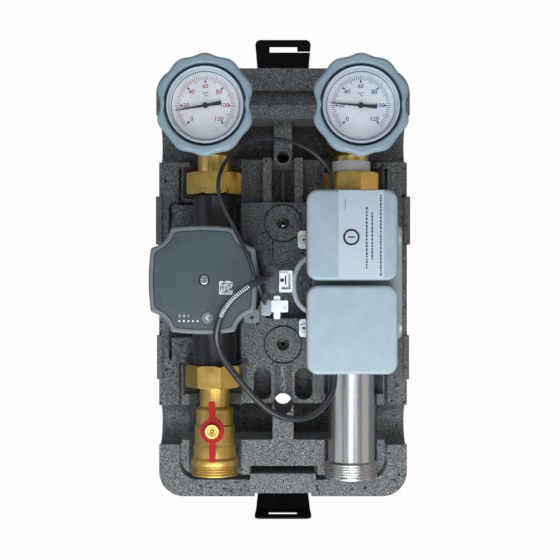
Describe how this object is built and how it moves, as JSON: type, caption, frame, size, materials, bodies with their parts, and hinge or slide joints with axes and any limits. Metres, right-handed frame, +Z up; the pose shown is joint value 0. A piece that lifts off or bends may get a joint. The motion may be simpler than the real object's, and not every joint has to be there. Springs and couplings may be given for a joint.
{
  "type": "heating circuit pump group",
  "caption": "Wall-hung heating circuit group: circulator, dial-thermometer ball valves, lower shut-off, return pipe and wiring boxes in a black foam back shell.",
  "frame": {"origin": "on the wall plane, midway between the two wall-screw holes", "axes": "+X to the right seen from the front, +Y into the wall, +Z up along the pipes"},
  "size_m": [0.245, 0.236, 0.4616],
  "materials": {
    "foam": "matte",
    "strap_plastic": "matte",
    "brass": "satin",
    "chromed_brass": "polished",
    "seat_plastic": "satin",
    "grip_plastic": "satin",
    "white_plastic": "satin",
    "dial_face": "satin",
    "pointer_paint": "satin",
    "dial_glass": "gloss",
    "cast_iron": "matte",
    "motor_metal": "matte",
    "steel": "satin",
    "zinc_plate": "satin",
    "ceramic": "satin",
    "impeller_plastic": "satin",
    "bearing_carbon": "satin",
    "winding": "satin",
    "head_plastic": "satin",
    "head_face": "satin",
    "board": "satin",
    "plug_plastic": "satin",
    "clear_grey": "gloss",
    "gasket_fibre": "matte",
    "red_paint": "gloss",
    "box_plastic": "satin",
    "plate_plastic": "satin",
    "cable_black": "satin",
    "cable_grey": "satin",
    "terminal_plastic": "satin"
  },
  "bodies": {
    "station": {"epp_back_shell": "foam", "valve_seats": "seat_plastic", "check_valve_cage": "seat_plastic", "check_valve_spring": "steel", "union_nuts": "brass", "union_gaskets": "gasket_fibre", "pump_housing": "cast_iron", "shaft_bearings": "bearing_carbon", "rotor_can": "steel", "stator": "winding", "motor_housing": "motor_metal", "motor_screws": "zinc_plate", "control_box": "head_plastic", "control_faceplate": "head_face", "circuit_board": "board", "power_plug": "plug_plastic", "power_plug_lock": "white_plastic", "signal_plug_housing": "clear_grey", "signal_plug_latch": "white_plastic", "shutoff_body": "brass", "return_pipe": "zinc_plate", "marking_band": "white_plastic", "mounting_plate": "plate_plastic", "pipe_brackets": "zinc_plate", "bracket_screws": "zinc_plate", "box_bases": "box_plastic", "terminal_blocks": "terminal_plastic", "signal_cable": "cable_black", "power_cable": "cable_black", "jumper_cable": "cable_grey", "supply_valve_body": "brass", "return_valve_body": "brass"},
    "supply_handle": {"supply_valve_ball": "chromed_brass", "supply_valve_stem": "brass", "supply_grip_ring": "grip_plastic", "supply_thermometer_case": "white_plastic", "supply_dial": "dial_face", "supply_window": "dial_glass"},
    "supply_needle": {"supply_pointer": "pointer_paint"},
    "return_handle": {"return_valve_ball": "chromed_brass", "return_valve_stem": "brass", "return_grip_ring": "grip_plastic", "return_thermometer_case": "white_plastic", "return_dial": "dial_face", "return_window": "dial_glass"},
    "return_needle": {"return_pointer": "pointer_paint"},
    "shutoff_lever": {"shutoff_ball": "chromed_brass", "shutoff_stem": "brass", "shutoff_handle": "red_paint", "shutoff_nut": "zinc_plate"},
    "pump_wheel": {"impeller": "impeller_plastic", "pump_shaft": "ceramic", "pump_rotor": "steel"},
    "mode_button": {"control_button": "head_plastic"},
    "deblocking_screw": {"vent_screw": "chromed_brass"},
    "check_disc": {"check_valve_disc": "seat_plastic"},
    "top_strap": {"cover_strap_top": "strap_plastic"},
    "bottom_strap": {"cover_strap_bottom": "strap_plastic"},
    "upper_cover": {"upper_box_cover": "box_plastic"},
    "lower_cover": {"lower_box_cover": "box_plastic"}
  },
  "joints": [
    {"name": "supply_handle_turn", "type": "hinge", "parent": "station", "child": "supply_handle", "pos_m": [-0.0625, -0.226, 0.1438], "axis": [0, 1, 0], "range_deg": [0, 90]},
    {"name": "supply_needle_turn", "type": "hinge", "parent": "supply_handle", "child": "supply_needle", "pos_m": [-0.0625, -0.228, 0.1438], "axis": [0, 1, 0], "range_deg": [-35.4, 234.6]},
    {"name": "return_handle_turn", "type": "hinge", "parent": "station", "child": "return_handle", "pos_m": [0.0625, -0.226, 0.1438], "axis": [0, 1, 0], "range_deg": [0, 90]},
    {"name": "return_needle_turn", "type": "hinge", "parent": "return_handle", "child": "return_needle", "pos_m": [0.0625, -0.228, 0.1438], "axis": [0, 1, 0], "range_deg": [-49.9, 220.1]},
    {"name": "shutoff_turn", "type": "hinge", "parent": "station", "child": "shutoff_lever", "pos_m": [-0.0625, -0.136, -0.13], "axis": [0, 1, 0], "range_deg": [0, 90]},
    {"name": "pump_spin", "type": "hinge", "parent": "station", "child": "pump_wheel", "pos_m": [-0.0625, -0.148, 0.0035], "axis": [0, 1, 0], "continuous": true},
    {"name": "mode_button_press", "type": "slide", "parent": "station", "child": "mode_button", "axis": [0, 1, 0], "range_m": [0, 0.0008], "stiffness_N_per_m": 600, "springref_m": -0.0003},
    {"name": "deblocking_screw_press", "type": "slide", "parent": "station", "child": "deblocking_screw", "axis": [0, 1, 0], "range_m": [0, 0.004], "stiffness_N_per_m": 800, "springref_m": -0.0005},
    {"name": "check_disc_lift", "type": "slide", "parent": "station", "child": "check_disc", "axis": [0, 0, -1], "range_m": [0, 0.006], "stiffness_N_per_m": 60, "springref_m": -0.003, "deforming": ["check_valve_spring"]},
    {"name": "top_strap_fold", "type": "hinge", "parent": "station", "child": "top_strap", "pos_m": [0, -0.03, 0.197], "axis": [1, 0, 0], "range_deg": [-10, 50]},
    {"name": "bottom_strap_fold", "type": "hinge", "parent": "station", "child": "bottom_strap", "pos_m": [0, -0.03, -0.199], "axis": [1, 0, 0], "range_deg": [-15, 38]},
    {"name": "upper_cover_pull", "type": "slide", "parent": "station", "child": "upper_cover", "axis": [0, -1, 0], "range_m": [0, 0.03]},
    {"name": "lower_cover_pull", "type": "slide", "parent": "station", "child": "lower_cover", "axis": [0, -1, 0], "range_m": [0, 0.03]}
  ]
}
